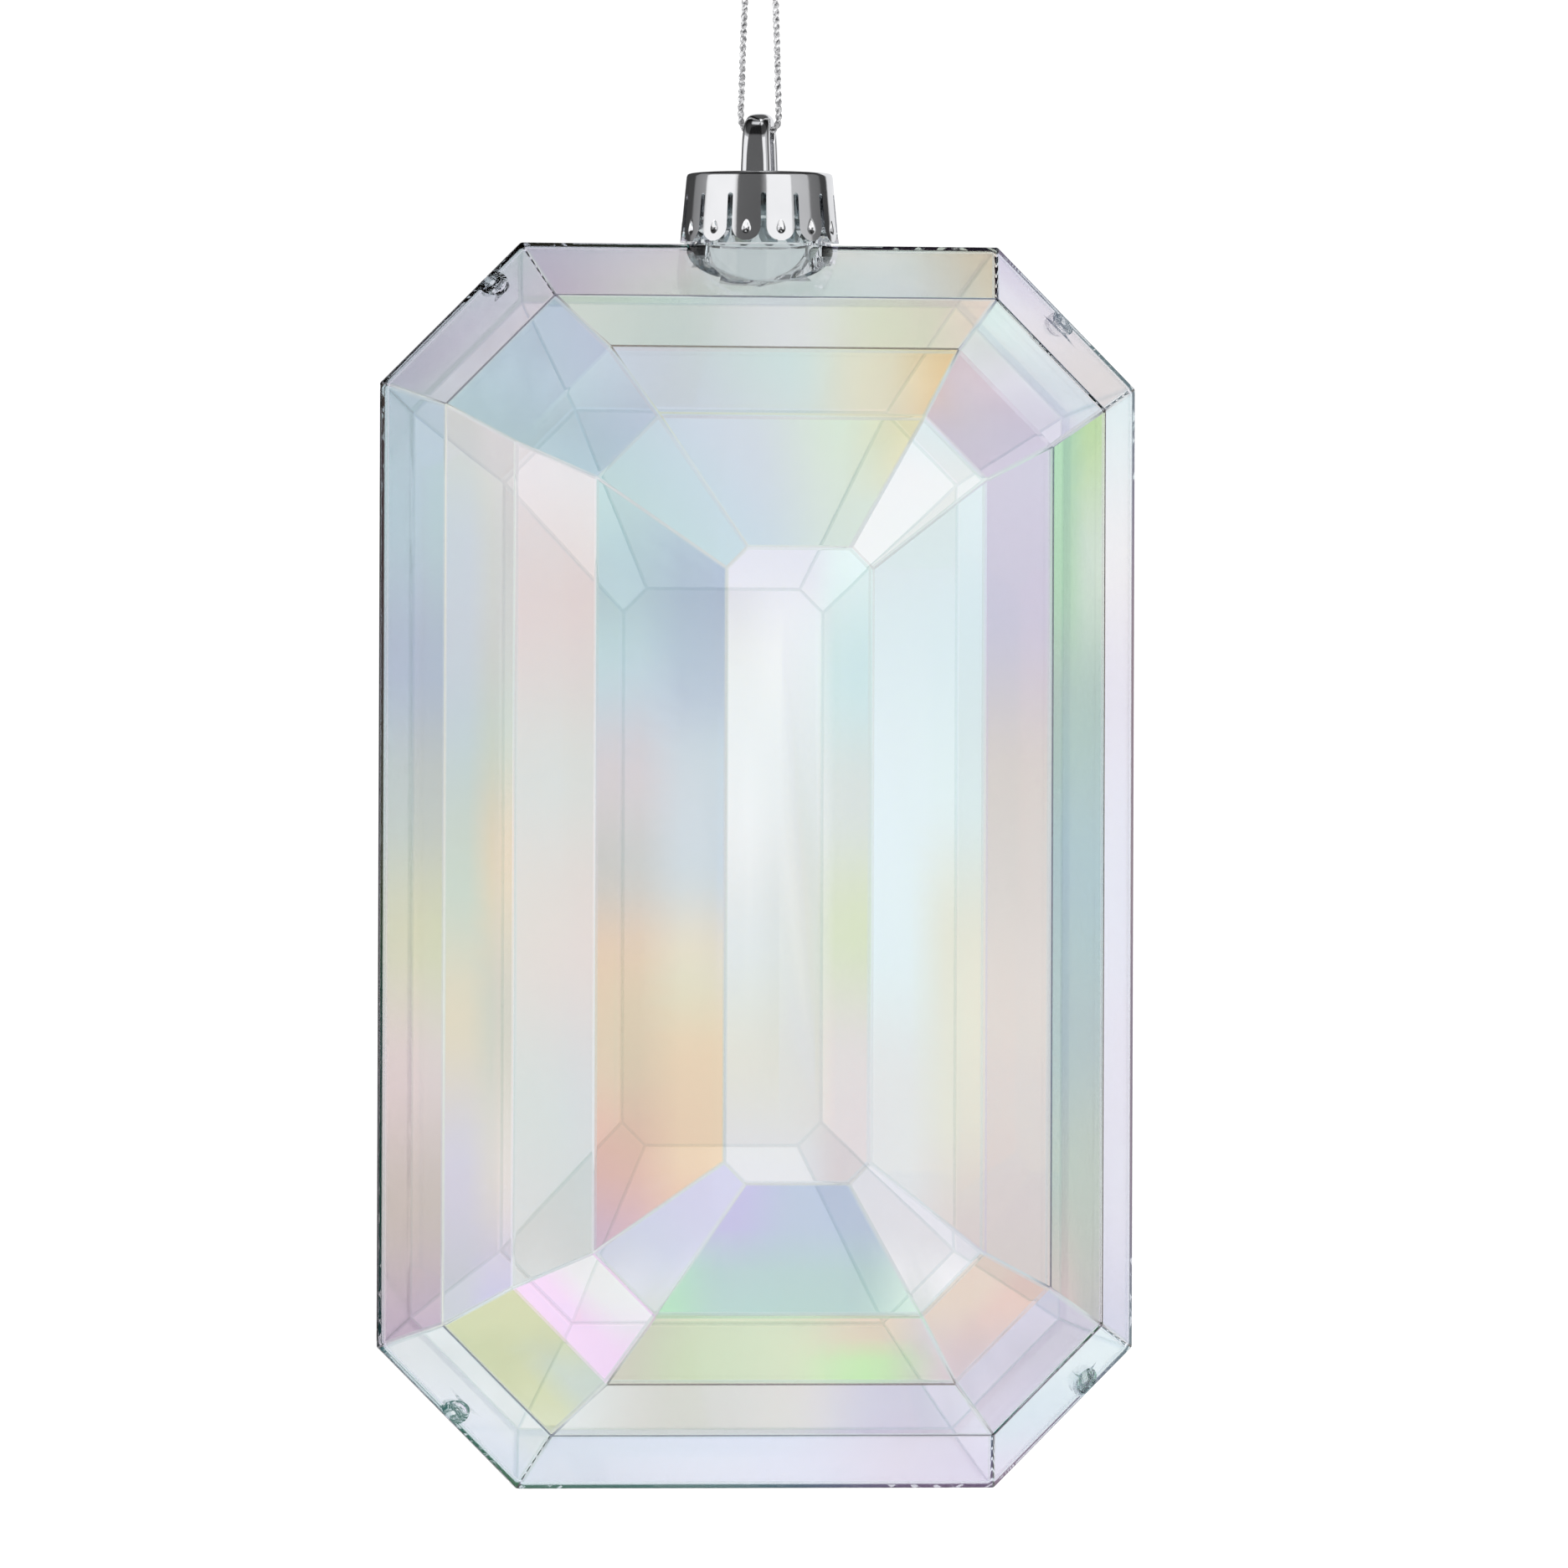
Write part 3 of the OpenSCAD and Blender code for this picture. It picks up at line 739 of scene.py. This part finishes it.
def eye_solid():
    """The arched eye: a rounded section swept up one leg, round the top and down the other."""
    bm = bmesh.new()
    mid_r = EYE_D / 2 - BAND_T / 2
    arch_z = CAP_TOP_Z + EYE_H - EYE_D / 2
    leg = [CAP_TOP_Z + up * MM for up in (-0.4, 1, 2.2)]
    path = [(-mid_r, z, math.pi) for z in leg]
    path += [(mid_r * math.cos(a), arch_z + mid_r * math.sin(a), a) for a in
             (math.radians(180 - 7.5 * k) for k in range(25))]
    path += [(mid_r, z, 0) for z in reversed(leg)]
    rings = []
    for y, z, facing in path:
        up = min(max((z - CAP_TOP_Z) / EYE_H, 0), 1)
        half_w = mix(BAND_FOOT_W, BAND_TOP_W, up) / 2
        section = rounded_section(half_w, BAND_T / 2, mix(0.9, 1.25, smooth_step(0.3, 0.9, up)) * MM)
        out = Vector((0, math.cos(facing), math.sin(facing)))
        rings.append([bm.verts.new(Vector((w, y, z)) + out * t) for w, t in section])
    for a, b in zip(rings, rings[1:]):
        for k in range(len(a)):
            n = (k + 1) % len(a)
            bm.faces.new((a[k], a[n], b[n], b[k]))
    for end in (rings[0], rings[-1]):
        bm.faces.new(end)
    return bm


def rounded_section(half_w, half_t, outer_round):
    """A section of the band as (across, outward) points, with rounded corners, the outer ones wider."""
    points = []
    inner_round = 0.35 * MM
    for side, out, wide, start in ((1, 1, outer_round, 0), (-1, 1, outer_round, 90), (-1, -1, inner_round, 180),
                                   (1, -1, inner_round, 270)):
        deep = min(wide, 0.8 * MM)
        for step in range(7):
            a = math.radians(start + 15 * step)
            points.append((side * (half_w - wide) + wide * math.cos(a), out * (half_t - deep) + deep * math.sin(a)))
    return points


def make_cap():
    cap = new_object("crown_cap", cap_skirt())
    eye = new_object("eye", eye_solid())
    boolean(cap, eye, "UNION")
    cap.data.transform(TURN)
    smooth_shade(cap, 38)
    cap.data.materials.append(metallised_plastic())
    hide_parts("hanger_cap")
    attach(cap, "cap")


# ---------------------------------------------------------------- thread
def smooth_route(points, steps):
    """A smooth curve through the route's points, in metres, in the eye's own plane."""
    spots = [Vector((x * MM, 0, z * MM)) for x, z in points]
    fine = []
    for i in range(len(spots) - 1):
        before, a, b, after = spots[max(i - 1, 0)], spots[i], spots[i + 1], spots[min(i + 2, len(spots) - 1)]
        for s in range(steps):
            t = s / steps
            fine.append(0.5 * ((2 * a) + (b - before) * t + (2 * before - 5 * a + 4 * b - after) * t ** 2
                               + (3 * a - before - 3 * b + after) * t ** 3))
    return fine + [spots[-1]]


def evenly(points, gap):
    spaced, since = [points[0]], 0.0
    for a, b in zip(points, points[1:]):
        step = (b - a).length
        while since + step >= gap:
            a = a.lerp(b, (gap - since) / step)
            step = (b - a).length
            spaced.append(a)
            since = 0.0
        since += step
    return spaced


def frames(path):
    """Each point with two directions across the path, carried along without twisting."""
    side = Vector((0, 1, 0))
    for i, point in enumerate(path):
        ahead = (path[min(i + 1, len(path) - 1)] - path[max(i - 1, 0)]).normalized()
        side = (side - ahead * side.dot(ahead)).normalized()
        yield point, side, ahead.cross(side)


def add_tube(bm, centres, radius, sides=6):
    previous = None
    first = None
    for point, side, other in frames(centres):
        row = [bm.verts.new(point + radius * (math.cos(a) * side + math.sin(a) * other))
               for a in (2 * math.pi * k / sides for k in range(sides))]
        if previous:
            for k in range(sides):
                n = (k + 1) % sides
                bm.faces.new((previous[k], previous[n], row[n], row[k]))
        else:
            first = row
        previous = row
    bm.faces.new(first)
    bm.faces.new(previous)


def add_twisted(bm, path, pitch, ply_r, helix_r):
    """Twists the thread's plies round a path."""
    gap = (path[1] - path[0]).length
    spots = list(frames(path))
    for ply in range(PLIES):
        centres = []
        for i, (point, side, other) in enumerate(spots):
            a = 2 * math.pi * (i * gap / pitch + ply / PLIES)
            centres.append(point + helix_r * (math.cos(a) * side + math.sin(a) * other))
        add_tube(bm, centres, ply_r)


def make_cord(material):
    path = evenly(smooth_route(ROUTE, 12), THREAD_STEP)
    bm = bmesh.new()
    add_twisted(bm, path, TWIST, PLY_R, HELIX_R)
    cord = new_object("thread", bm, material)
    cord.data.transform(TURN)
    cord.data.shade_smooth()
    turned = [TURN @ p for p in path]
    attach(cord, "thread_loop")
    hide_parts("hanging_cord")
    return cord, turned


def make_knot(material):
    """An overhand knot in the doubled thread, and its two cut, slightly frayed tails."""
    bm = bmesh.new()
    size = (KNOT_W / 2 - THREAD_D / 2) / 3
    turn = [Vector((size * (math.sin(t) + 2 * math.sin(2 * t)), size * (math.cos(t) - 2 * math.cos(2 * t)),
                    KNOT_H / 2 - KNOT_H * 0.3 * math.sin(3 * t))) for t in (math.tau * k / 160 for k in range(161))]
    path = evenly(turn, THREAD_STEP)
    add_twisted(bm, path, KNOT_TWIST, KNOT_PLY_R, KNOT_HELIX_R)
    for side in (-1, 1):
        foot = Vector((0, 0, KNOT_H - THREAD_D))
        lean = Vector((side * math.sin(TAIL_LEAN), 0, math.cos(TAIL_LEAN)))
        tail = [foot + lean * (TAIL_L * 0.9 * k / 40) for k in range(41)]
        add_twisted(bm, tail, KNOT_TWIST, PLY_R, HELIX_R)
        for hair in range(5):
            swing = (hair - 2) * 0.12
            tip = foot + lean * TAIL_L * 0.86
            out = (lean + Vector((swing, 0.1 * math.sin(hair * 2.1), 0))).normalized()
            add_tube(bm, [tip + out * (0.2 * MM * k) for k in range(4)], 0.06 * MM, 5)
    knot = new_object("thread_knot", bm, material)
    knot.data.transform(TURN)
    knot.data.shade_smooth()
    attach(knot, "thread_loop")
    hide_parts("cord_knot")
    return knot


# ---------------------------------------------------------------- studio
# The room as the chrome shows it: (degrees round from the camera, brightness), dark between the softboxes.
ROOM = [
    (-180, 0.9), (-172, 0.9), (-166, 0.05), (-124, 0.06), (-119, 0.25), (-93, 0.35), (-87, 0.55), (-40, 0.55),
    (-35, 0.13), (2, 0.12), (9, 0.3), (12, 0.55), (52, 0.55), (54, 0.6), (82, 0.56), (86, 0.2), (108, 0.16),
    (112, 0.06), (128, 0.06), (133, 0.9), (180, 0.9),
]
# Its brightness by height, from straight down to straight up, as a share of the above.
HEIGHT = [(-1, 0.85), (-0.6, 0.8), (-0.5, 1), (0.5, 1), (0.62, 0.12), (0.95, 0.1), (0.975, 1.6), (1, 1.6)]


def ramp_node(nodes, links, source, stops, low, high):
    ramp = nodes.new("ShaderNodeValToRGB")
    elements = ramp.color_ramp.elements
    while len(elements) > 1:
        elements.remove(elements[-1])
    for k, (place, value) in enumerate(stops):
        element = elements[0] if k == 0 else elements.new((place - low) / (high - low))
        element.position = (place - low) / (high - low)
        element.color = (value, value, value, 1)
    links.new(ranged(nodes, links, source, 0, 1, low, high), ramp.inputs["Fac"])
    return ramp.outputs["Color"]


def make_world():
    world = bpy.data.worlds.new("studio")
    bpy.context.scene.world = world
    world.use_nodes = True
    nodes, links = world.node_tree.nodes, world.node_tree.links
    backdrop = nodes["Background"]
    backdrop.inputs["Color"].default_value = (1, 1, 1, 1)
    backdrop.inputs["Strength"].default_value = 1.15
    rays = nodes.new("ShaderNodeLightPath")
    place = nodes.new("ShaderNodeTexCoord")
    split = nodes.new("ShaderNodeSeparateXYZ")
    turn = nodes.new("ShaderNodeVectorRotate")
    turn.rotation_type = "Z_AXIS"
    turn.inputs["Angle"].default_value = -CAMERA_AZIMUTH
    links.new(place.outputs["Generated"], turn.inputs["Vector"])
    links.new(turn.outputs["Vector"], split.inputs["Vector"])
    front = nodes.new("ShaderNodeMath")
    front.operation = "MULTIPLY"
    front.inputs[1].default_value = -1
    links.new(split.outputs["Y"], front.inputs[0])
    around = nodes.new("ShaderNodeMath")
    around.operation = "ARCTAN2"
    links.new(split.outputs["X"], around.inputs[0])
    links.new(front.outputs["Value"], around.inputs[1])
    room_stops = [(math.radians(degrees), value) for degrees, value in ROOM]
    level = nodes.new("ShaderNodeMath")
    level.operation = "MULTIPLY"
    links.new(ramp_node(nodes, links, around.outputs["Value"], room_stops, -math.pi, math.pi), level.inputs[0])
    links.new(ramp_node(nodes, links, split.outputs["Z"], HEIGHT, -1, 1), level.inputs[1])
    room = nodes.new("ShaderNodeBackground")
    links.new(level.outputs["Value"], room.inputs["Strength"])
    room.inputs["Color"].default_value = (0.98, 0.985, 1.0, 1)
    mirrored = nodes.new("ShaderNodeMath")
    mirrored.operation, mirrored.use_clamp = "SUBTRACT", True
    links.new(rays.outputs["Is Reflection Ray"], mirrored.inputs[0])
    links.new(rays.outputs["Is Diffuse Ray"], mirrored.inputs[1])
    either = nodes.new("ShaderNodeMixShader")
    links.new(mirrored.outputs["Value"], either.inputs["Fac"])
    links.new(backdrop.outputs["Background"], either.inputs[1])
    links.new(room.outputs["Background"], either.inputs[2])
    links.new(either.outputs["Shader"], nodes["World Output"].inputs["Surface"])


def softbox(name, azimuth, elevation, distance, width, height, radiance):
    """An area light of a given brightness that faces the gem, seen in reflections and not through the gem."""
    data = bpy.data.lights.new(name, "AREA")
    data.shape, data.size, data.size_y = "RECTANGLE", width, height
    data.energy = radiance * math.pi * width * height
    light = bpy.data.objects.new(name, data)
    bpy.context.collection.objects.link(light)
    a, e = CAMERA_AZIMUTH + math.radians(azimuth), math.radians(elevation)
    back = Vector((math.sin(a) * math.cos(e), -math.cos(a) * math.cos(e), math.sin(e)))
    light.location = Vector((0, 0, CENTRE_Z)) + back * distance
    light.rotation_euler = back.to_track_quat("Z", "Y").to_euler()
    light.visible_camera = False
    light.visible_transmission = False


def make_floor():
    bm = bmesh.new()
    bmesh.ops.create_circle(bm, cap_ends=True, segments=96, radius=1.7)
    floor = new_object("floor", bm)
    floor.data.transform(Matrix.Translation((0, 0, shell_low[2] - 0.1)))
    material, _, _, bsdf = node_material("floor")
    bsdf.inputs["Base Color"].default_value = (0.93, 0.93, 0.93, 1)
    bsdf.inputs["Roughness"].default_value = 0.9
    floor.data.materials.append(material)


# ---------------------------------------------------------------- build
make_camera()
thread = silver_thread()
cord, cord_path = make_cord(thread)
knot = make_knot(thread)

front = shell_mesh(FRONT_ROWS, FRONT_HOLLOW, FRONT_TABLE, "front_half", True)
paint(front, FRONT_ROWS, FRONT_HOLLOW, FRONT_TABLE, FRONT_COAT_AND_REFLECTIONS, FRONT_TABLE_COAT_AND_REFLECTIONS, FRONT_LINES)
back = shell_mesh(BACK_ROWS, BACK_HOLLOW, BACK_TABLE, "back_half", False)
paint(back, BACK_ROWS, BACK_HOLLOW, BACK_TABLE, BACK_TINTS, BACK_TABLE_TINT, BACK_LINES)
back.data.transform(Matrix.Diagonal((1, -1, 1, 1)))
back.data.flip_normals()
for shell, node, material in (
    (front, "front_shell", iridescent_plastic("iridescent_front", 320, 480)),
    (back, "back_shell", iridescent_plastic("iridescent_back", 360, 520)),
):
    smooth_shade(shell, 40)
    shell.data.materials.clear()
    shell.data.materials.append(material)
    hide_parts(node)
    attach(shell, "gem")
make_cap()

make_world()
softbox("softbox_left", -63, 0, 1.2, 1.3, 1.4, 0.5)
softbox("softbox_right", 31, 0, 1.2, 0.86, 1.4, 0.5)
make_floor()
bpy.context.scene.view_settings.view_transform = "Standard"
# Light runs a long way inside the rims and posts, which go black without enough bounces.
cycles = bpy.context.scene.cycles
cycles.max_bounces = cycles.transmission_bounces = 24
cycles.glossy_bounces = 16
